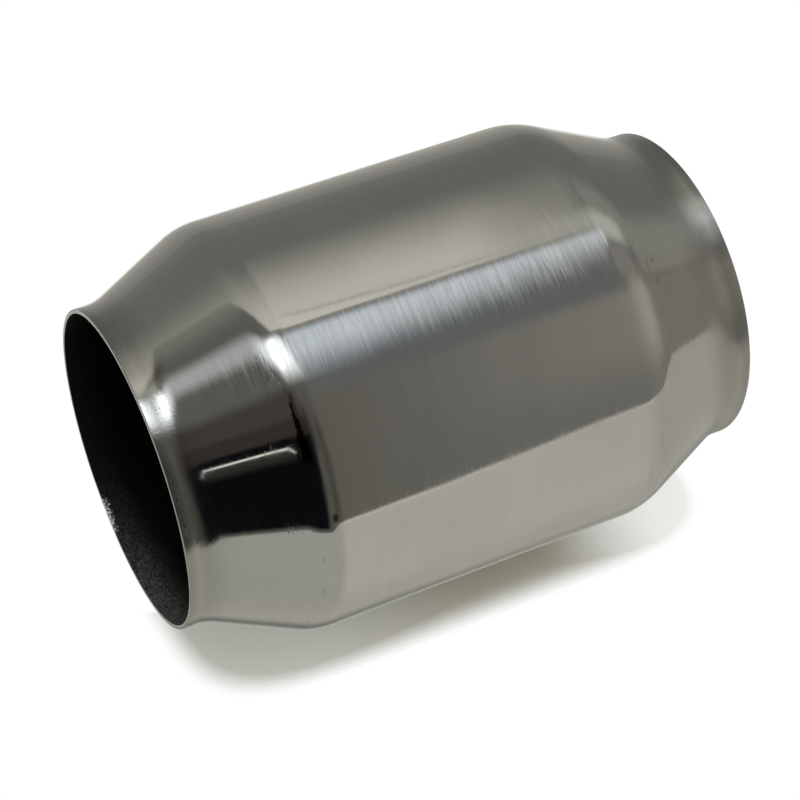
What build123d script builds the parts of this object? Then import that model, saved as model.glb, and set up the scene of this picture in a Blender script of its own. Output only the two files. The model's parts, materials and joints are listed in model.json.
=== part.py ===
from build123d import *

import os
from math import atan2, cos, degrees, pi, sin, sqrt, tan

# A catalytic converter in a one-piece spun shell, standing on its inlet rim.
# +Z runs along the axis, the way the gas flows, and the origin is the middle of the inlet rim.

# Shell, spun from one tube
neck_diameter = 88.9
body_diameter = 114.3
overall_length = 165.1
wall = 1.2
neck_land = 3.0
cone_run = 27.4
neck_blend = 15.0
shoulder_blend = 22.5
edge_break = 0.25

# Packing between the shell and the mantle, along the cylinder
mat_thickness = 4.95
mat_joint_gap = 0.8
mat_tongue_width = 24.0
mat_tongue_reach = 20.0
mesh_ring_width = 6.0
packing_gap = 0.1

# Mantle, the tube that holds the foils
mantle_wall = 1.0
mantle_overhang = 1.1

# Foils, a stack of layers wound in an S about two eyes
layer_count = 10
layer_height = 3.3
wave_pitch = 8.0
foil_thickness = 0.05
foil_recess = 3.0
fold_radius = 0.3
fold_turn = pi / 3
flat_sagitta = 0.2
crest_gap = 0.1
braze_gap = 0.15

# The shell's corners, and the cylinder between its shoulders
neck_radius = neck_diameter / 2
body_radius = body_diameter / 2
cone_angle = atan2(body_radius - neck_radius, cone_run)
neck_corner = neck_land + neck_blend * tan(cone_angle / 2)
shoulder_corner = neck_corner + cone_run
body_base = shoulder_corner + shoulder_blend * tan(cone_angle / 2)

# The pieces inside, from the shell's wall inwards
packing_outside = body_radius - wall - packing_gap
packing_inside = packing_outside - mat_thickness
mat_base = body_base + mesh_ring_width + packing_gap
mat_length = overall_length - 2 * mat_base
mantle_radius = packing_inside - packing_gap
mantle_base = body_base - mantle_overhang
mantle_length = overall_length - 2 * mantle_base
foil_base = mantle_base + foil_recess
foil_length = overall_length - 2 * foil_base
core_radius = mantle_radius - mantle_wall - braze_gap
stack_height = layer_count * layer_height + 2 * fold_radius


def shell_line(inset):
    """The shell's outline from rim to rim, set in from its outer surface."""
    shift = inset * tan(cone_angle / 2)
    neck, body = neck_radius - inset, body_radius - inset
    low_neck, low_shoulder = neck_corner + shift, shoulder_corner + shift
    corners = [
        (neck, 0),
        (neck, low_neck),
        (body, low_shoulder),
        (body, overall_length - low_shoulder),
        (neck, overall_length - low_neck),
        (neck, overall_length),
    ]
    neck_bend, shoulder_bend = neck_blend + inset, shoulder_blend - inset
    return FilletPolyline(*corners, radius=[neck_bend, shoulder_bend, shoulder_bend, neck_bend])


def make_shell():
    """One spun piece of even wall, with the outer edge of each cut rim broken."""
    outer, inner = shell_line(0), shell_line(wall)
    rims = [Line(outer @ end, inner @ end) for end in (0, 1)]
    section = Plane.XZ * make_face([*outer.edges(), *inner.edges(), *rims])
    shell = revolve(section, Axis.Z)
    levels = shell.edges().filter_by(GeomType.CIRCLE).group_by(Axis.Z)
    rim_edges = [level.sort_by(SortBy.RADIUS)[-1] for level in (levels[0], levels[-1])]
    return chamfer(rim_edges, edge_break)


def make_ring(outer_radius, inner_radius, base, length):
    """A plain ring about the axis, standing at the height of its base."""
    ring = Circle(outer_radius) - Circle(inner_radius)
    return Pos(0, 0, base) * extrude(ring, length)


def on_winding(reach, along):
    """The place, inward normal and bend radius on the half turns that start at this reach below the first eye.

    The half turns are centred on the two eyes by turns and each is one stack wider than the one before, so
    lines that start a layer apart stay a layer apart.
    """
    radius, eye, angle = reach, stack_height / 2, -pi / 2
    while along > pi * radius:
        along -= pi * radius
        radius += stack_height
        eye = -eye
        angle += pi
    angle += along / radius
    outward = Vector(cos(angle), sin(angle))
    return Vector(0, eye) + outward * radius, -outward, radius


def flat_step(radius):
    """The longest chord that keeps a flat foil near a bend of this radius."""
    return radius * min(sqrt(8 * flat_sagitta / radius), fold_turn)


def wave_step(radius):
    """From one crest to the next, whatever the bend."""
    return wave_pitch / 2


def foil_arm(reach, swing, step):
    """A foil's corners from the core's middle out to the mantle, by turns on either side of its line."""
    arm, radius, along = [], reach, step(reach) / 2
    while True:
        place, inward, radius = on_winding(reach, along)
        corner = place + inward * swing
        if corner.length > core_radius:
            return [*arm, cut_at_mantle(arm[-1], corner)]
        arm.append(corner)
        along += step(radius)
        swing = -swing


def cut_at_mantle(inside, outside):
    """Where the run from one corner to the next comes to the mantle."""
    run = outside - inside
    toward, spare = inside.dot(run), core_radius**2 - inside.dot(inside)
    return inside + run * ((sqrt(toward**2 + run.dot(run) * spare) - toward) / run.dot(run))


def make_foil(reach, swing, step):
    """A strip of foil from mantle to mantle, mitred at each corner of its line."""
    far_arm = [-corner for corner in foil_arm(stack_height - reach, swing, step)]
    line = [*reversed(far_arm), *foil_arm(reach, swing, step)]
    runs = [(end - start).normalized() for start, end in zip(line, line[1:])]
    sides = [Vector(-run.Y, run.X) for run in runs]
    left, right = [], []
    for corner, before, after in zip(line, [sides[0], *sides], [*sides, sides[-1]]):
        mitre = (before + after).normalized()
        half = mitre * (foil_thickness / 2 / mitre.dot(before))
        left.append(corner + half)
        right.append(corner - half)
    strip = make_face(Polyline(*left, *reversed(right), close=True))
    return Pos(0, 0, foil_base) * extrude(strip, foil_length)


def make_flat_foil(place):
    """The flat foil at this place in the stack."""
    return make_foil(fold_radius + place * layer_height, 0, flat_step)


def make_corrugated_foil(place):
    """The corrugated foil between the flat foil of this place and the next."""
    swing = layer_height / 2 - foil_thickness - flat_sagitta - crest_gap
    return make_foil(fold_radius + (place + 0.5) * layer_height, swing, wave_step)


def girth_cutter(start, width, bottom, top):
    """A cutter through the packing, its start and width measured round the mantle."""
    centre = Pos((packing_outside + packing_inside) / 2, (bottom + top) / 2)
    section = Plane.XZ * centre * Rectangle(2 * mat_thickness, top - bottom)
    cutter = revolve(section, Axis.Z, revolution_arc=degrees(width / mantle_radius))
    return Rot(0, 0, degrees(start / mantle_radius)) * cutter


def make_mat():
    """The mat, cut where its two ends meet in a tongue and groove."""
    mat = make_ring(packing_outside, packing_inside, mat_base, mat_length)
    top, gap = mat_base + mat_length, mat_joint_gap
    tongue_base = (overall_length - mat_tongue_width) / 2
    tongue_top = tongue_base + mat_tongue_width
    mat -= girth_cutter(0, gap, mat_base, tongue_base + gap)
    mat -= girth_cutter(0, mat_tongue_reach, tongue_base, tongue_base + gap)
    mat -= girth_cutter(mat_tongue_reach, gap, tongue_base, tongue_top + gap)
    mat -= girth_cutter(0, mat_tongue_reach, tongue_top, tongue_top + gap)
    mat -= girth_cutter(0, gap, tongue_top, top)
    return mat


def make_mesh_ring(base):
    """The knitted wire ring at one end of the mat."""
    return make_ring(packing_outside, packing_inside, base, mesh_ring_width)


def main():
    os.makedirs("parts", exist_ok=True)
    nodes = {
        "shell": make_shell(),
        "core_mantle": make_ring(mantle_radius, mantle_radius - mantle_wall, mantle_base, mantle_length),
        "support_mat": make_mat(),
        "inlet_mesh_ring": make_mesh_ring(body_base),
        "outlet_mesh_ring": make_mesh_ring(overall_length - body_base - mesh_ring_width),
    }
    for layer in range(layer_count + 1):
        nodes[f"flat_foil_{layer + 1:02d}"] = make_flat_foil(layer)
    for layer in range(layer_count):
        nodes[f"corrugated_foil_{layer + 1:02d}"] = make_corrugated_foil(layer)
    for name, solid in nodes.items():
        export_step(solid, f"parts/{name}.step")


main()
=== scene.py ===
import json
from math import atan2, cos, pi, radians, sin, tan

import bmesh
import bpy
from mathutils import Matrix, Vector


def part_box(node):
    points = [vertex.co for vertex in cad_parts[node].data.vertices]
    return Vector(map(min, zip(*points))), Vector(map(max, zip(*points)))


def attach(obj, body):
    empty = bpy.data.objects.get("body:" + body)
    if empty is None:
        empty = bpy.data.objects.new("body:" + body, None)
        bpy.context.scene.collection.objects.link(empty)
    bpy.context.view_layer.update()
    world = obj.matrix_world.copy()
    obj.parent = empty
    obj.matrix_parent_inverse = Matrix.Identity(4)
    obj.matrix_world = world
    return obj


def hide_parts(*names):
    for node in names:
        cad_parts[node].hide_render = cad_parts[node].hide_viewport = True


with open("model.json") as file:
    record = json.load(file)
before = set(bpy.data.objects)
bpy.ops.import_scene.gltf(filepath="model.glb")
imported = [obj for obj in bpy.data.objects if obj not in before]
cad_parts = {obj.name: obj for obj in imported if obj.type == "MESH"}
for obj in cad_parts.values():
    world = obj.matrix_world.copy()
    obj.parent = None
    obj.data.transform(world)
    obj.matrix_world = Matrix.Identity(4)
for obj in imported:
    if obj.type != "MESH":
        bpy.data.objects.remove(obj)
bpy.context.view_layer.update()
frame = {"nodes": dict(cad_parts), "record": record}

# Sizes that the frame gives, in metres
mounts = {mount["name"]: mount for mount in frame["record"]["mounts"]}
NECK_RADIUS = mounts["inlet_neck_outside"]["dims"]["r_mm"] / 1000
WALL = NECK_RADIUS - mounts["inlet_neck_bore"]["dims"]["r_mm"] / 1000
BODY_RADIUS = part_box("shell")[1].x
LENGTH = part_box("shell")[1].z

# Shell outline
NECK_LAND = 0.003
CONE_RUN = 0.0274
NECK_BLEND = 0.015
SHOULDER_BLEND = 0.0225
EDGE_BREAK = 0.00025
BURR = 0.00008
CONE_ANGLE = atan2(BODY_RADIUS - NECK_RADIUS, CONE_RUN)
NECK_TANGENT = NECK_BLEND * tan(CONE_ANGLE / 2)
SHOULDER_TANGENT = SHOULDER_BLEND * tan(CONE_ANGLE / 2)
BODY_BASE = NECK_LAND + NECK_TANGENT + CONE_RUN + SHOULDER_TANGENT

# Foils, wound in an S about two eyes
LAYER_COUNT = 10
LAYER_HEIGHT = 0.0033
WAVE_PITCH = 0.008
WAVE_SWING = 0.0013
FOIL_THICKNESS = 0.00005
FOLD_RADIUS = 0.0003
CORE_RADIUS = 0.04965
STACK_HEIGHT = LAYER_COUNT * LAYER_HEIGHT + 2 * FOLD_RADIUS
FOIL_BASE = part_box("flat_foil_01")[0].z
FOIL_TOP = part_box("flat_foil_01")[1].z

# The relief of the shell's finishes is given in millimetres
MILLIMETRE = 0.001

# Steps of the meshes
TURN_STEPS = 224
BLEND_STEPS = 14
RUN_STEP = 0.0035
RIM_SEGMENTS = 3
FLAT_STEP = 0.0012
WAVE_STEP = 0.0005

# Camera of the photograph's view, in which the object lies on the side that faces +Y
LENS = 109.2
SENSOR = 36.0
CAMERA_PLACE = Vector((0.42715, -0.46300, -0.13023))
CAMERA_FORWARD = Vector((-0.63664, 0.70409, 0.31457))

# Floor under the standing part, and table under the lying one
STAGE_SIZE = 6.0
STAGE_GAP = 0.0001
FLOOR_TONE = (0.84, 0.83, 0.79)
FLOOR_SHADOW = 0.075
TABLE_TONE = (0.775, 0.76, 0.63)
TABLE_MARGIN = 0.003
TABLE_TURN = radians(7)
SHADOW_REACH = 0.0520
SHADOW_HALF = 0.0830
SHADOW_MIDDLE = LENGTH / 2 - 0.001

# Wear on the shell, and painted reflections, a painted highlight and painted glints on it, in metres up
# the part or in from the nearer rim, and in degrees round the axis.
# A third number is the softness of a band's ends, and a side is a direction across the axis.
OUTLET_WEAR = (LENGTH - 0.030, LENGTH - 0.015)
SATIN_FADE = (0.003, 0.013)
SATIN_WIDER = 0.004
EDGE_FADE = (0.0, 0.003)
# Round this turn the rims aren't dulled, which paints their highlight lighter: painted highlight.
RIM_HIGHLIGHT_TURN = (-74, -56, 4)
WORN_START = (-69, -65)
WORN_END = (-62, -50)
WORN_BAND = (0.024, 0.122, 0.012)
SCRATCH_BAND = (0.023, 0.034, 0.003)
PIT_FADE = (0.001, 0.009)
PIT_ROW_SIDE = (0.857, -0.515)
PIT_ROW_OUT = (0.0434, 0.0441)
PIT_ROW_FADE = (0.0012, 0.0024)
# A slanting dark band on the inlet neck beside its highlight: painted dark reflection.
DARK_REFLECTION_TURN = -66.5
DARK_REFLECTION_SLOPE = 1000
DARK_REFLECTION_WIDTH = (-1.4, 1.4, 1.8)
DARK_REFLECTION_BAND = (0.0022, 0.0085, 0.0025)
# A ragged dark line along the inlet shoulder: the dark reflection in a dent, painted into the colour, with
# no relief of its own.
DENT_REFLECTION_HEIGHT = 0.0327
DENT_REFLECTION_NARROW = 0.0003
DENT_REFLECTION_WIDER = 0.0012
DENT_REFLECTION_RAGGED = 0.0012
DENT_REFLECTION_OPENING = (-50, -36)
DENT_REFLECTION_TURN = (-50, -34, 1)
# Specks on a part of the inlet rim, inside and on its cut face: painted glints.
BURR_GLINT_SIDE = (-0.485, 0.875)
BURR_GLINT_OUT_INSIDE = (0.0426, 0.0432)
BURR_GLINT_OUT_RIM = (0.0427, 0.0434)
BURR_GLINT_FADE = (0.0002, 0.0026)

# Reflectance of the steel, which the studio's levels are worked out for
STEEL = (0.62, 0.61, 0.585)

# Light on dull surfaces
EVEN_BASE = 0.25
EVEN_GAIN = 1.2


# Node maths

class Wire:
    """An output socket. Arithmetic on it adds Math nodes, so that a mask reads as an expression."""

    def __init__(self, nodes, socket):
        self.nodes = nodes
        self.socket = socket

    def math(self, operation, *others):
        return self.nodes.add("Math", {"operation": operation}, dict(enumerate([self, *others])))

    def beside(self, name):
        """Another output of the same node."""
        return Wire(self.nodes, self.socket.node.outputs[name])

    def rise(self, low, high):
        """0 up to low, 1 from high, and smooth between."""
        ends = {"Value": self, "From Min": low, "From Max": high}
        return self.nodes.add("MapRange", {"interpolation_type": "SMOOTHSTEP"}, ends)

    def within(self, low, high, soft):
        """1 between low and high, and 0 outside, with soft ends."""
        return self.rise(low - soft, low + soft) * (1 - self.rise(high - soft, high + soft))

    def __add__(self, other):
        return self.math("ADD", other)

    __radd__ = __add__

    def __sub__(self, other):
        return self.math("SUBTRACT", other)

    def __rsub__(self, other):
        return self.nodes.add("Math", {"operation": "SUBTRACT"}, {0: other, 1: self})

    def __mul__(self, other):
        return self.math("MULTIPLY", other)

    __rmul__ = __mul__

    def __truediv__(self, other):
        return self.math("DIVIDE", other)

    def __rtruediv__(self, other):
        return self.nodes.add("Math", {"operation": "DIVIDE"}, {0: other, 1: self})

    def __pow__(self, other):
        return self.math("POWER", other)


class Nodes:
    """The nodes of one material or world."""

    def __init__(self, owner):
        owner.use_nodes = True
        self.tree = owner.node_tree
        self.tree.nodes.clear()

    def add(self, kind, settings=None, sockets=None, result=0):
        """Adds a node. Its settings come first, since they choose its sockets."""
        node = self.tree.nodes.new("ShaderNode" + kind)
        for name, value in (settings or {}).items():
            setattr(node, name, value)
        for name, value in (sockets or {}).items():
            if isinstance(value, Wire):
                self.tree.links.new(value.socket, node.inputs[name])
            else:
                node.inputs[name].default_value = value
        return Wire(self, node.outputs[result]) if node.outputs else None

    def mix(self, mask, below, above):
        """One colour laid over another where the mask is 1."""
        colours = {0: mask, 6: colour(below), 7: colour(above)}
        return self.add("Mix", {"data_type": "RGBA"}, colours, result=2)

    def noise(self, place, scale, detail=2.0, roughness=0.5):
        """Smooth noise from 0 to 1."""
        sockets = {"Vector": place, "Scale": scale, "Detail": detail, "Roughness": roughness}
        return self.add("TexNoise", {}, sockets)

    def object_place(self):
        return self.add("TexCoord", result="Object")

    def split(self, vector):
        x = self.add("SeparateXYZ", {}, {0: vector})
        return x, x.beside("Y"), x.beside("Z")

    def stretched(self, across, along):
        """Places for streaks that run round the axis: cells a radian round it, and cells a metre along."""
        x, y, z = self.split(self.object_place())
        radius = (x * x + y * y).math("SQRT").math("MAXIMUM", 0.001)
        scale = across / radius
        return self.add("CombineXYZ", {}, {"X": x * scale, "Y": y * scale, "Z": z * along})


def colour(value):
    """A colour with its alpha, or a wire as it is."""
    return value if isinstance(value, Wire) else (*value, 1.0)


def material(name):
    made = bpy.data.materials.new(name)
    return made, Nodes(made)


def bumped(nodes, strength, distance, height):
    return nodes.add("Bump", {}, {"Strength": strength, "Distance": distance, "Height": height})


def finish(nodes, sockets, fixed=None):
    """The surface from its changing and its fixed inputs, of metal unless they say otherwise."""
    surface = nodes.add("BsdfPrincipled", {}, {"Metallic": 1.0, **sockets, **(fixed or {})})
    nodes.add("OutputMaterial", {}, {"Surface": surface})


# Finishes

def toward(x, y, side):
    """How far out from the axis a place lies on this side."""
    return x * side[0] + y * side[1]


def polished_steel():
    """Bright stainless with brushing round the axis, duller and pitted near the rims."""
    made, nodes = material("polished_steel")
    place = nodes.object_place()
    x, y, z = nodes.split(place)
    turn = y.math("ARCTAN2", x) * (180 / pi)
    from_rim = z.math("MINIMUM", LENGTH - z)
    outlet = z.rise(*OUTLET_WEAR)
    satin = 1 - (from_rim - SATIN_WIDER * outlet).rise(*SATIN_FADE)

    # Patterns all over
    fine = nodes.noise(nodes.stretched(5.0, 1500.0), 1.0, 3.0, 0.65)
    broad = nodes.noise(nodes.stretched(2.0, 380.0), 1.0, 2.0)
    brush = fine * 0.65 + broad * 0.35
    streak = fine.rise(0.38, 0.66)
    cloud = nodes.noise(place, 38.0, 3.0)
    wave = nodes.noise(place, 42.0, 1.0)
    grain = nodes.noise(place, 1700.0, 2.0)

    # Marks with a place of their own
    worn = turn.rise(*WORN_START) * (1 - turn.rise(*WORN_END)) * z.within(*WORN_BAND)
    scratched = from_rim.within(*SCRATCH_BAND) * nodes.noise(place, 70.0).rise(0.45, 0.6)
    scratch = nodes.noise(nodes.stretched(14.0, 1300.0), 1.0, 1.0).rise(0.62, 0.70) * scratched
    spot = nodes.noise(place, 1500.0, 1.0).rise(0.68, 0.75)
    pits = spot * (1 - from_rim.rise(*PIT_FADE)) * nodes.noise(place, 90.0).rise(0.45, 0.65)
    row = toward(x, y, PIT_ROW_SIDE).rise(*PIT_ROW_OUT) * (1 - z.rise(*PIT_ROW_FADE))
    pits = pits.math("MAXIMUM", row * nodes.noise(place, 2400.0, 2.0).rise(0.50, 0.58))
    # Painted dark reflection: a slanting dark band on the inlet neck, beside its highlight.
    painted_dark_reflection = (turn + DARK_REFLECTION_SLOPE * z - DARK_REFLECTION_TURN).within(*DARK_REFLECTION_WIDTH) * z.within(*DARK_REFLECTION_BAND)
    # Painted dark reflection: a ragged near-black line along the inlet shoulder, where a dent would show
    # it.
    dent_reflection_half = DENT_REFLECTION_NARROW + DENT_REFLECTION_WIDER * turn.rise(*DENT_REFLECTION_OPENING)
    ragged = (z - DENT_REFLECTION_HEIGHT).math("ABSOLUTE") + DENT_REFLECTION_RAGGED * (nodes.noise(place, 900.0, 2.0) - 0.5)
    painted_dent_reflection = (1 - (ragged / dent_reflection_half).rise(0.5, 1.1)) * turn.within(*DENT_REFLECTION_TURN)

    tone = nodes.mix(brush.rise(0.3, 0.7), (0.61, 0.60, 0.575), (0.645, 0.635, 0.61))
    tone = nodes.mix(cloud.rise(0.40, 0.70) * 0.35, tone, (0.56, 0.55, 0.525))
    grooves = nodes.mix(streak, (0.54, 0.53, 0.51), (0.72, 0.715, 0.69))
    tone = nodes.mix(worn * 0.8, tone, grooves)
    edge = 1 - from_rim.rise(*EDGE_FADE)
    # The rims are dulled, except round the turn where their highlight falls: a painted highlight there.
    dull = (satin * 0.75 + edge * (0.3 + 0.6 * outlet)) * (1 - turn.within(*RIM_HIGHLIGHT_TURN))
    tone = nodes.mix(dull + scratch * 0.9, tone, (0.45, 0.44, 0.41))
    # The painted dark reflection on the inlet neck.
    tone = nodes.mix(painted_dark_reflection * 0.75, tone, (0.17, 0.166, 0.156))
    # The painted dark reflection along the inlet shoulder.
    tone = nodes.mix(painted_dent_reflection, tone, (0.06, 0.05, 0.045))
    tone = nodes.mix(pits, tone, (0.05, 0.045, 0.04))

    roughness = 0.055 + 0.05 * brush.rise(0.42, 0.72) + 0.03 * (cloud - 0.5) + 0.07 * worn * streak
    roughness = roughness + satin * (0.10 + 0.08 * outlet)

    relief = fine * 0.004 + broad * 0.003 + wave * 0.10 + satin * grain * 0.02
    relief = relief - pits * 0.03 - scratch * 0.01
    bump = bumped(nodes, 1.0, MILLIMETRE, relief)
    sockets = {"Base Color": tone, "Roughness": roughness, "Normal": bump}
    finish(nodes, sockets, {"Anisotropic": 0.9, "Anisotropic Rotation": 0.25})
    return made


def mill_steel():
    """The matt, grainy inside of the shell, with painted shade, near black further in and towards -x, and
    with painted glints on a part of the rim's cut edge.
    """
    made, nodes = material("mill_steel")
    place = nodes.object_place()
    x, y, z = nodes.split(place)
    from_rim = z.math("MINIMUM", LENGTH - z)
    # Painted shade: the inside is lighter only near the rim and towards +x, and near black further in.
    near = (1 - from_rim.rise(0.001, 0.016)) * (0.05 + 0.95 * x.rise(-0.036, 0.012))
    grain = nodes.noise(place, 1500.0, 3.0, 0.7)
    cloud = nodes.noise(place, 60.0, 3.0)
    tone = nodes.mix(near * grain.rise(0.3, 0.75), (0.006, 0.006, 0.006), (0.17, 0.166, 0.155))
    # Painted glints: bright specks on the inside wall next to a part of the rim.
    burr_glint = toward(x, y, BURR_GLINT_SIDE).rise(*BURR_GLINT_OUT_INSIDE) * (1 - z.rise(*BURR_GLINT_FADE))
    glint = (nodes.noise(place, 2300.0, 3.0) + 0.25 * burr_glint).rise(0.68, 0.76) * burr_glint.rise(0.05, 0.3)
    tone = nodes.mix(glint, tone, (0.85, 0.84, 0.77))
    bump = bumped(nodes, 1.0, MILLIMETRE, grain * 0.06)
    sockets = {"Base Color": tone, "Roughness": 0.55 + 0.2 * cloud, "Normal": bump}
    finish(nodes, sockets, {"Metallic": 0.0, "Specular IOR Level": 0.1})
    return made


def cut_steel():
    """The sawn rim, with painted glints on a part of its ragged top."""
    made, nodes = material("cut_steel")
    place = nodes.object_place()
    x, y, _ = nodes.split(place)
    grain = nodes.noise(nodes.stretched(40.0, 4000.0), 1.0, 3.0)
    tone = nodes.mix(grain, (0.26, 0.25, 0.235), (0.42, 0.41, 0.385))
    # Painted glints: bright specks on a part of the cut face.
    burr_glint = toward(x, y, BURR_GLINT_SIDE).rise(*BURR_GLINT_OUT_RIM) * nodes.noise(place, 900.0, 3.0).rise(0.46, 0.56)
    tone = nodes.mix(burr_glint, tone, (1.0, 0.98, 0.92))
    rough = 0.26 + 0.2 * nodes.noise(place, 500.0)
    bump = bumped(nodes, 1.0, MILLIMETRE, grain * 0.02)
    finish(nodes, {"Base Color": tone, "Roughness": rough, "Normal": bump})
    return made


def satin_steel():
    """The mantle's rolled tube."""
    made, nodes = material("satin_steel")
    place = nodes.object_place()
    streak = nodes.noise(nodes.stretched(4.0, 1500.0), 1.0, 3.0)
    tone = nodes.mix(streak, (0.40, 0.385, 0.36), (0.52, 0.51, 0.485))
    bump = bumped(nodes, 0.2, 0.0001, streak)
    rough = 0.3 + 0.15 * nodes.noise(place, 60.0)
    finish(nodes, {"Base Color": tone, "Roughness": rough, "Normal": bump})
    return made


def coated_foil():
    """Foil under a thin, matt, porous coat."""
    made, nodes = material("coated_foil")
    place = nodes.object_place()
    patch = nodes.noise(place, 150.0, 4.0)
    grain = nodes.noise(place, 2600.0, 2.0)
    tone = nodes.mix(patch.rise(0.35, 0.65), (0.30, 0.27, 0.23), (0.42, 0.38, 0.33))
    bump = bumped(nodes, 0.4, 0.0001, grain)
    rough = 0.5 + 0.25 * patch
    finish(nodes, {"Base Color": tone, "Roughness": rough, "Metallic": 0.35, "Normal": bump})
    return made


def fibre():
    """The mat of ceramic fibre and flakes of mica."""
    made, nodes = material("fibre")
    place = nodes.object_place()
    strand = nodes.noise(nodes.stretched(60.0, 900.0), 1.0, 4.0, 0.7)
    flake = nodes.add("TexVoronoi", {}, {"Vector": place, "Scale": 900.0})
    tone = nodes.mix(strand, (0.70, 0.66, 0.57), (0.86, 0.83, 0.76))
    tone = nodes.mix((1 - flake.rise(0.10, 0.22)) * 0.6, tone, (0.62, 0.50, 0.30))
    bump = bumped(nodes, 0.7, 0.0003, strand)
    rough = 0.8 + 0.15 * strand
    finish(nodes, {"Base Color": tone, "Roughness": rough, "Metallic": 0.0, "Normal": bump})
    return made


def wire_mesh():
    """Knitted wire, pressed into a ring."""
    made, nodes = material("wire_mesh")
    place = nodes.object_place()
    loops = nodes.add("TexVoronoi", {"feature": "DISTANCE_TO_EDGE"}, {"Vector": place, "Scale": 1100.0})
    # The gaps between the wires are painted near black: painted shade in the gaps.
    wire = 1 - loops.rise(0.03, 0.16)
    tone = nodes.mix(wire, (0.06, 0.058, 0.055), (0.55, 0.54, 0.51))
    bump = bumped(nodes, 0.8, 0.0003, wire)
    finish(nodes, {"Base Color": tone, "Roughness": 0.55 - 0.25 * wire, "Normal": bump})
    return made


# Shell

def extrude_run(mesh, tip, step, count):
    """Draws an edge chain straight on from its tip, and gives the new tip."""
    for _ in range(count):
        grown = bmesh.ops.extrude_vert_indiv(mesh, verts=[tip])
        tip = grown["verts"][0]
        bmesh.ops.translate(mesh, verts=[tip], vec=step)
    return tip


def bend_run(mesh, tip, centre, angle):
    """Draws an edge chain on round a bend, and gives the new tip."""
    before = set(mesh.verts)
    bmesh.ops.spin(mesh, geom=[tip], cent=centre, axis=(0, 1, 0), angle=angle, steps=BLEND_STEPS)
    new = [vert for vert in mesh.verts if vert not in before]
    return max(new, key=lambda vert: (vert.co - tip.co).length)


def shell_outline(mesh):
    """The outer line of the shell from the inlet rim to the outlet rim, at y = 0."""
    tip = mesh.verts.new((NECK_RADIUS, 0, 0))

    def straight(tip, angle, length):
        count = max(1, round(length / RUN_STEP))
        return extrude_run(mesh, tip, Vector((sin(angle), 0, cos(angle))) * (length / count), count)

    def bend(tip, heading, radius, turn):
        """A bend away from the axis where turn is over 0, and back where it is under."""
        side = Vector((cos(heading), 0, -sin(heading))) * (radius if turn > 0 else -radius)
        return bend_run(mesh, tip, tip.co + side, turn)

    cone_length = CONE_RUN / cos(CONE_ANGLE) - NECK_TANGENT - SHOULDER_TANGENT
    tip = straight(tip, 0, NECK_LAND)
    tip = bend(tip, 0, NECK_BLEND, CONE_ANGLE)
    tip = straight(tip, CONE_ANGLE, cone_length)
    tip = bend(tip, CONE_ANGLE, SHOULDER_BLEND, -CONE_ANGLE)
    tip = straight(tip, 0, LENGTH - 2 * BODY_BASE)
    tip = bend(tip, 0, SHOULDER_BLEND, -CONE_ANGLE)
    tip = straight(tip, -CONE_ANGLE, cone_length)
    tip = bend(tip, -CONE_ANGLE, NECK_BLEND, CONE_ANGLE)
    straight(tip, 0, NECK_LAND)


def finished(name, mesh, materials):
    """The piece as an object that rides on the body, with its materials."""
    data = bpy.data.meshes.new(name)
    mesh.to_mesh(data)
    mesh.free()
    for each in materials:
        data.materials.append(each)
    piece = bpy.data.objects.new(name, data)
    bpy.context.scene.collection.objects.link(piece)
    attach(piece, "root")
    return piece


OUTSIDE, INSIDE, RIM = range(3)


def shell_face_slot(face):
    """The place of a face's finish among the shell's materials."""
    if abs(face.normal.z) > 0.99:
        return RIM
    outward = face.normal.xy.dot(face.calc_center_median().xy) > 0
    return OUTSIDE if outward else INSIDE


def make_shell():
    """The spun shell, its wall set in from the outer line, with the outer edge of each rim broken."""
    mesh = bmesh.new()
    shell_outline(mesh)
    bmesh.ops.spin(
        mesh, geom=[*mesh.verts, *mesh.edges], cent=(0, 0, 0), axis=(0, 0, 1),
        angle=2 * pi, steps=TURN_STEPS, use_merge=True,
    )
    bmesh.ops.remove_doubles(mesh, verts=mesh.verts, dist=1e-6)
    bmesh.ops.recalc_face_normals(mesh, faces=mesh.faces)
    bmesh.ops.solidify(mesh, geom=mesh.faces[:], thickness=WALL)
    mesh.normal_update()
    for face in mesh.faces:
        face.material_index = shell_face_slot(face)
        face.smooth = True
    square = [edge for edge in mesh.edges if edge.calc_face_angle() > radians(60)]
    outer = [edge for edge in square if edge.verts[0].co.xy.length > NECK_RADIUS - WALL / 2]
    inner = [edge for edge in square if edge not in outer]
    for edges, width in ((outer, EDGE_BREAK), (inner, BURR)):
        bmesh.ops.bevel(
            mesh, geom=edges, offset=width, segments=RIM_SEGMENTS, profile=0.5,
            affect="EDGES", material=-1,
        )
    return finished("spun_shell", mesh, [polished_steel(), mill_steel(), cut_steel()])


# Foils

def on_winding(reach, along):
    """The place and the inward normal on the half turns that start at this reach below the first eye."""
    radius, eye, angle = reach, STACK_HEIGHT / 2, -pi / 2
    while along > pi * radius:
        along -= pi * radius
        radius += STACK_HEIGHT
        eye = -eye
        angle += pi
    angle += along / radius
    outward = Vector((cos(angle), sin(angle), 0))
    return Vector((0, eye, 0)) + outward * radius, -outward


def foil_arm(reach, swing, step):
    """Places from the core's middle out to the mantle, with an even wave about the foil's line."""
    arm, along = [], step / 2
    while True:
        place, inward = on_winding(reach, along)
        place = place + inward * (swing * sin(2 * pi * along / WAVE_PITCH))
        if place.length > CORE_RADIUS:
            return arm
        arm.append(place)
        along += step


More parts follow.
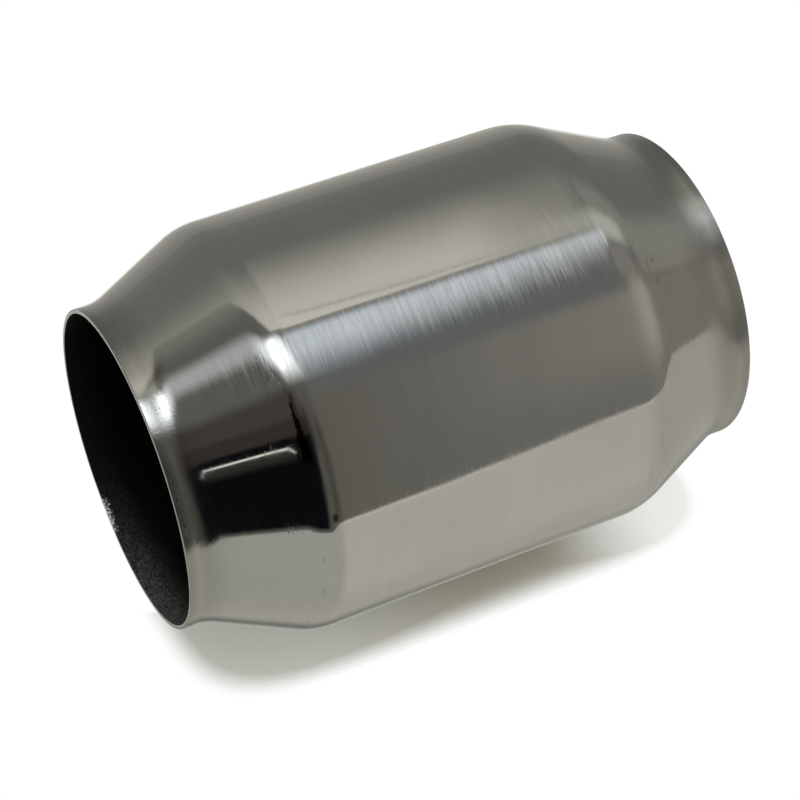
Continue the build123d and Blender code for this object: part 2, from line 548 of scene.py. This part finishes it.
def make_foil(name, reach, swing, step, made):
    """A smooth strip of foil in the place of a carried-over one."""
    mesh = bmesh.new()
    far_arm = [-place for place in foil_arm(STACK_HEIGHT - reach, swing, step)]
    line = [*reversed(far_arm), *foil_arm(reach, swing, step)]
    chain = [mesh.verts.new(place + Vector((0, 0, FOIL_BASE))) for place in line]
    edges = [mesh.edges.new(pair) for pair in zip(chain, chain[1:])]
    grown = bmesh.ops.extrude_edge_only(mesh, edges=edges)["geom"]
    top = [item for item in grown if isinstance(item, bmesh.types.BMVert)]
    bmesh.ops.translate(mesh, verts=top, vec=(0, 0, FOIL_TOP - FOIL_BASE))
    bmesh.ops.recalc_face_normals(mesh, faces=mesh.faces)
    bmesh.ops.solidify(mesh, geom=mesh.faces[:], thickness=FOIL_THICKNESS)
    bmesh.ops.recalc_face_normals(mesh, faces=mesh.faces)
    for face in mesh.faces:
        face.smooth = abs(face.normal.z) < 0.5
    foil = finished("smooth_" + name, mesh, [made])
    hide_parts(name)


def make_foils():
    made = coated_foil()
    for layer in range(LAYER_COUNT + 1):
        reach = FOLD_RADIUS + layer * LAYER_HEIGHT
        make_foil(f"flat_foil_{layer + 1:02d}", reach, 0, FLAT_STEP, made)
    for layer in range(LAYER_COUNT):
        reach = FOLD_RADIUS + (layer + 0.5) * LAYER_HEIGHT
        make_foil(f"corrugated_foil_{layer + 1:02d}", reach, WAVE_SWING, WAVE_STEP, made)


# Stage

def stage_plane(name, corner, side, up, tone, spread):
    """A plane that shows the object's shadow, only from its front, and clear where spread comes to 1."""
    mesh = bmesh.new()
    verts = [mesh.verts.new(corner + side * a + up * b) for a, b in ((0, 0), (1, 0), (1, 1), (0, 1))]
    mesh.faces.new(verts)
    data = bpy.data.meshes.new(name)
    mesh.to_mesh(data)
    mesh.free()
    made, nodes = material(name)
    behind = nodes.add("NewGeometry", result="Backfacing")
    shaded = nodes.add("BsdfDiffuse", {}, {"Color": (*tone, 1)})
    clear = nodes.add("BsdfTransparent")
    shown = nodes.add("MixShader", {}, {0: spread(nodes), 1: shaded, 2: clear})
    both = nodes.add("MixShader", {}, {0: behind, 1: shown, 2: clear})
    nodes.add("OutputMaterial", {}, {"Surface": both})
    data.materials.append(made)
    plane = bpy.data.objects.new(name, data)
    bpy.context.scene.collection.objects.link(plane)
    plane.visible_diffuse = False
    plane.visible_glossy = False
    plane.visible_transmission = False
    plane.visible_shadow = False


def table_spread(nodes):
    """From the shadow along the lying part outwards, sooner at its ends and beside the part."""
    x, _, z = nodes.split(nodes.object_place())
    across = x / (SHADOW_REACH * cos(TABLE_TURN))
    along = (z - SHADOW_MIDDLE) / SHADOW_HALF
    rim = (across ** 4 + along ** 6).rise(0.30, 0.95)
    ends = 0.7 * along.rise(0.30, 0.80) + 0.22 * (1 - z.rise(0.03, 0.09))
    beside = 1 - x.rise(0.0, 0.008)
    return rim.math("MAXIMUM", ends).math("MAXIMUM", beside)


def floor_spread(nodes):
    """From the shadow round the standing part outwards."""
    x, y, _ = nodes.split(nodes.object_place())
    return ((x * x + y * y).math("SQRT") / FLOOR_SHADOW).rise(0.8, 1.8)


def make_stage():
    """The floor under the standing part, and the table that it lies on in the photograph's view.

    The table is turned a little, so that a view along it sees its back, which doesn't show.
    """
    half = STAGE_SIZE / 2
    corner = Vector((-half, -half, -STAGE_GAP))
    wide = Vector((STAGE_SIZE, 0, 0))
    deep = Vector((0, STAGE_SIZE, 0))
    stage_plane("floor", corner, wide, deep, FLOOR_TONE, floor_spread)
    corner = Vector((0, BODY_RADIUS + STAGE_GAP, -TABLE_MARGIN))
    side = Vector((cos(TABLE_TURN), -sin(TABLE_TURN), 0)) * SHADOW_REACH
    high = Vector((0, 0, LENGTH + 2 * TABLE_MARGIN))
    stage_plane("table", corner, side, high, TABLE_TONE, table_spread)


# Studio: what polished steel reflects, as cards laid one over another. A card's place is an azimuth,
# in degrees round the part's axis, and a height, the share of the direction that points up the axis.

def linear(value):
    """A display level from 0 to 255 as linear light."""
    value = value / 255
    return value / 12.92 if value <= 0.04045 else ((value + 0.055) / 1.055) ** 2.4


def shade(*levels):
    """The light that polished steel shows as this display colour."""
    return tuple(linear(level) / steel for level, steel in zip(levels, STEEL))


def card(light, level, mask):
    """The light with a card of this level in front of it where the mask is 1."""
    return mask.nodes.mix(mask, light, level)


def far_wall(azimuth, height):
    """The wall of the room, lighter high up."""
    low = azimuth.rise(-72, -52) * (1 - height.rise(0.26, 0.36))
    light = card(shade(96, 95, 90), shade(88, 86, 78), low)
    right = azimuth.rise(-58, -46) * (1 - 0.75 * azimuth.rise(-30, 10))
    light = card(light, shade(122, 119, 110), right * height.rise(0.30, 0.46))
    glow = azimuth.rise(-76, -44) * (1 - 0.85 * azimuth.rise(-34, 12)) * height.rise(0.46, 0.74)
    light = card(light, shade(140, 138, 127), glow * (1 - 0.8 * height.rise(0.81, 0.90)))
    top = azimuth.rise(-76, -46) * height.rise(0.84, 0.95)
    light = card(light, shade(108, 106, 98), top)
    top_left = azimuth.within(-86, -67, 6) * height.rise(0.84, 0.94)
    light = card(light, shade(118, 115, 108), top_left)
    left = azimuth.rise(-138, -112) * (1 - azimuth.rise(-92, -76)) * height.rise(0.40, 0.52)
    return card(light, shade(118, 117, 110), left)


def side_wall(light, azimuth, height):
    """The wall to the left of the softbox."""
    low = 1 - height.rise(-0.2, 0.0)
    far = azimuth.rise(-150, -126) * (1 - azimuth.rise(-118, -104)) * low
    light = card(light, shade(108, 107, 100), far)
    low = 1 - height.rise(-0.3, 0.1)
    slant = azimuth - 20 * (height + 0.5).math("MAXIMUM", 0.0)
    near = slant.rise(-123, -103) * (1 - azimuth.rise(-64, -58)) * low
    return card(light, shade(85, 84, 78), near)


def low_wall(light, azimuth, height):
    """The darker wall under the panel."""
    light = card(light, shade(78, 77, 72), (1 - height.rise(0.14, 0.26)) * azimuth.rise(-66, -54))
    foot = azimuth.within(-42, 16, 6) * height.within(0.10, 0.22, 0.05)
    light = card(light, shade(64, 62, 53), foot)
    gap = azimuth.within(-48, -24, 8) * (1 - height.rise(-0.06, 0.10))
    light = card(light, shade(42, 39, 34), gap)
    shadow = azimuth.rise(-66, -56) * (1 - azimuth.rise(-50, -42)) * (1 - height.rise(-0.20, 0.0))
    return card(light, shade(60, 57, 52), shadow)


def bounce_card(light, azimuth, height):
    """The pale card over the panel, its lower edge aslant."""
    lower_edge = (height - 0.0119 * (azimuth + 96)).rise(-0.14, -0.07)
    low = 1 - height.rise(0.15, 0.25)
    bounce = (azimuth - 8 * low).rise(-147, -97) * (1 - azimuth.rise(-92, -89)) * lower_edge
    light = card(light, shade(176, 174, 162), bounce * (1 - height.rise(0.345, 0.425)))
    end = azimuth.within(-102, -84, 6) * height.within(0.40, 0.80, 0.06)
    return card(light, shade(160, 159, 151), end)


def softbox_glow(light, azimuth, height):
    """The glow above the softbox, narrower high up, over a dark blue hem."""
    hem = azimuth.within(-70, -54, 4) * height.within(0.26, 0.42, 0.02)
    light = card(light, shade(90, 92, 93), hem)
    narrow = azimuth + 80 * (height - 0.30).math("MAXIMUM", 0.0)
    glow = card(shade(184, 191, 195), shade(176, 182, 184), height.rise(0.28, 0.38))
    band = azimuth.rise(-91, -85) * (1 - narrow.rise(-80, -59)) * height.rise(0.14, 0.26)
    upper_edge = 1 - (height + 0.014 * ((azimuth + 78) / 12) ** 2).rise(0.425, 0.447)
    light = card(light, glow, band * upper_edge)
    end = azimuth.within(-80, -62, 5) * height.within(0.47, 0.80, 0.05)
    light = card(light, shade(114, 112, 105), end)
    corner = azimuth.within(-88, -79, 3) * height.within(0.45, 0.49, 0.015)
    light = card(light, (1.0, 1.0, 0.98), corner)
    strip = azimuth - 60 * (height - 0.27)
    lit = strip.rise(-98, -96) * (1 - azimuth.rise(-91.5, -89.5)) * height.within(0.24, 0.38, 0.03)
    light = card(light, shade(182, 180, 170), lit)
    seam = strip.within(-98.6, -97.8, 0.5) * height.within(0.27, 0.36, 0.03)
    return card(light, shade(108, 106, 96), seam)


def softbox(light, azimuth, height):
    """The softbox over its spill, its top edge aslant."""
    slant = azimuth - 40 * height
    spill = card(shade(222, 225, 226), shade(154, 156, 154), 1 - height.rise(-0.52, -0.28))
    light = card(light, spill, slant.within(-78, -63, 6) * (1 - height.rise(-0.28, -0.20)))
    cut = azimuth + 9 * (1 - height.rise(-0.32, -0.12))
    top = height - 0.007 * (azimuth + 75)
    front = azimuth.rise(-91, -84) * (1 - cut.rise(-75, -59)) * height.rise(-0.29, -0.19)
    light = card(light, (1.5, 1.6, 1.68), front * (1 - top.rise(0.12, 0.22)))
    core = azimuth.rise(-90, -82) * (1 - cut.rise(-76, -66)) * height.within(-0.22, -0.05, 0.05)
    light = card(light, (2.6, 2.7, 2.8), core)
    frame_edge = azimuth.within(-91.0, -89.6, 0.6) * height.within(-0.22, 0.36, 0.06)
    return card(light, shade(118, 116, 108), frame_edge)


def black_flag(light, azimuth, height):
    """The black block, with its brown hem and its lit edge."""
    side = azimuth.within(-43, -33, 3) * (1 - height.rise(-0.34, -0.20))
    light = card(light, shade(50, 45, 40), side)
    hem = azimuth.within(-57, -34, 2.0) * height.within(-0.23, -0.17, 0.02)
    light = card(light, shade(28, 24, 21), hem)
    black = azimuth.rise(-36, -33) * (1 - azimuth.rise(18, 21)) * (1 - height.rise(-0.08, 0.02))
    light = card(light, shade(9, 10, 12), black)
    sheen = azimuth.within(-27, -21, 3) * (1 - height.rise(-0.54, -0.40))
    light = card(light, shade(40, 40, 37), sheen)
    foot = azimuth.within(11.5, 16, 1.0) * height.within(0.04, 0.13, 0.02)
    light = card(light, shade(20, 18, 16), foot)
    line = azimuth - 3 * height.rise(-0.565, -0.46)
    lit_edge = line.within(-28.8, -27.9, 0.4) * (1 - height.rise(-0.50, -0.42))
    return card(light, (1.6, 1.6, 1.5), lit_edge)


def table_and_wall(light, azimuth, height):
    """The table from its far edge on, the contact shadow on it, and the wall behind the object."""
    far_edge = 18.0 - 5.0 * height.rise(0.29, 0.43) + 5.0 * height.rise(0.45, 0.77)
    far_edge = far_edge + 10.4 * height.rise(0.83, 0.97) + 3.6 * (1 - height.rise(0.0, 0.15))
    from_edge = azimuth - far_edge
    table = card(shade(154, 151, 142), shade(160, 158, 148), height.within(0.22, 0.43, 0.03))
    table = card(table, shade(144, 143, 135), 1 - height.rise(0.12, 0.24))
    table = card(table, shade(151, 148, 139), height.rise(0.38, 0.45))
    darker = height.rise(0.50, 0.60).math("MAXIMUM", azimuth.rise(60, 100))
    table = card(table, shade(146, 144, 134), darker)
    contact = azimuth.within(103, 115, 8) * height.within(-0.1, 0.36, 0.2)
    table = card(table, shade(92, 92, 88), contact)
    far_contact = azimuth.within(108, 130, 8) * height.rise(0.40, 0.47)
    table = card(table, shade(122, 121, 114), far_contact)
    table = card(table, (0.27, 0.265, 0.25), azimuth.rise(144, 184))
    horizon = azimuth.within(131, 149, 4) * (1 - height.within(0.31, 0.44, 0.06))
    table = card(table, (0.95, 0.95, 0.92), horizon)
    lip = from_edge.within(0.8, 2.0, 0.4) * height.within(0.25, 0.50, 0.02)
    table = card(table, shade(172, 170, 160), lip)
    light = card(light, table, from_edge.rise(-0.6, 0.6))
    return card(light, (0.25, 0.245, 0.23), 1 - azimuth.rise(-190, -160))


def even_light(nodes, y, height):
    """Light from over the lying and the standing part, which adds up to 1 on the table and the floor."""
    over_table = (0 - y).math("MAXIMUM", 0.0)
    over_floor = height.math("MAXIMUM", 0.0)
    even = EVEN_BASE + EVEN_GAIN * (over_table ** 2 + over_floor ** 2)
    return nodes.add("CombineColor", {}, {"Red": even, "Green": even, "Blue": even})


def make_studio():
    """White behind the object, an even light for dull surfaces, and the cards for polished steel."""
    world = bpy.data.worlds.new("studio")
    bpy.context.scene.world = world
    world.cycles.sampling_method = "NONE"
    nodes = Nodes(world)
    x, y, height = nodes.split(nodes.add("TexCoord", result="Generated"))
    azimuth = y.math("ARCTAN2", x) * (180 / pi)
    light = far_wall(azimuth, height)
    for layer in (side_wall, low_wall, bounce_card, softbox_glow, softbox, black_flag, table_and_wall):
        light = layer(light, azimuth, height)
    seen = nodes.add("LightPath", result="Is Camera Ray")
    shown = nodes.mix(seen.beside("Is Diffuse Ray"), light, even_light(nodes, y, height))
    shown = nodes.mix(seen, shown, (1.0, 1.0, 1.0))
    background = nodes.add("Background", {}, {"Color": shown, "Strength": 1.0})
    nodes.add("OutputWorld", {}, {"Surface": background})


def make_camera():
    data = bpy.data.cameras.new("camera")
    data.lens = LENS
    data.sensor_width = SENSOR
    data.clip_start = 0.01
    data.clip_end = 100.0
    camera = bpy.data.objects.new("camera", data)
    forward = CAMERA_FORWARD.normalized()
    right = forward.cross(Vector((0, -1, 0))).normalized()
    turn = Matrix((right, right.cross(forward), -forward)).transposed()
    camera.matrix_world = Matrix.Translation(CAMERA_PLACE) @ turn.to_4x4()
    bpy.context.scene.collection.objects.link(camera)
    bpy.context.scene.camera = camera


def dress(names, made):
    """Gives carried-over nodes their finish."""
    for name in names:
        data = frame["nodes"][name].data
        data.materials.clear()
        data.materials.append(made)


bpy.context.scene.view_settings.view_transform = "Standard"
make_camera()
make_stage()
make_studio()
shell = make_shell()
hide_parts("shell")
dress(["core_mantle"], satin_steel())
dress(["support_mat"], fibre())
dress(["inlet_mesh_ring", "outlet_mesh_ring"], wire_mesh())
make_foils()
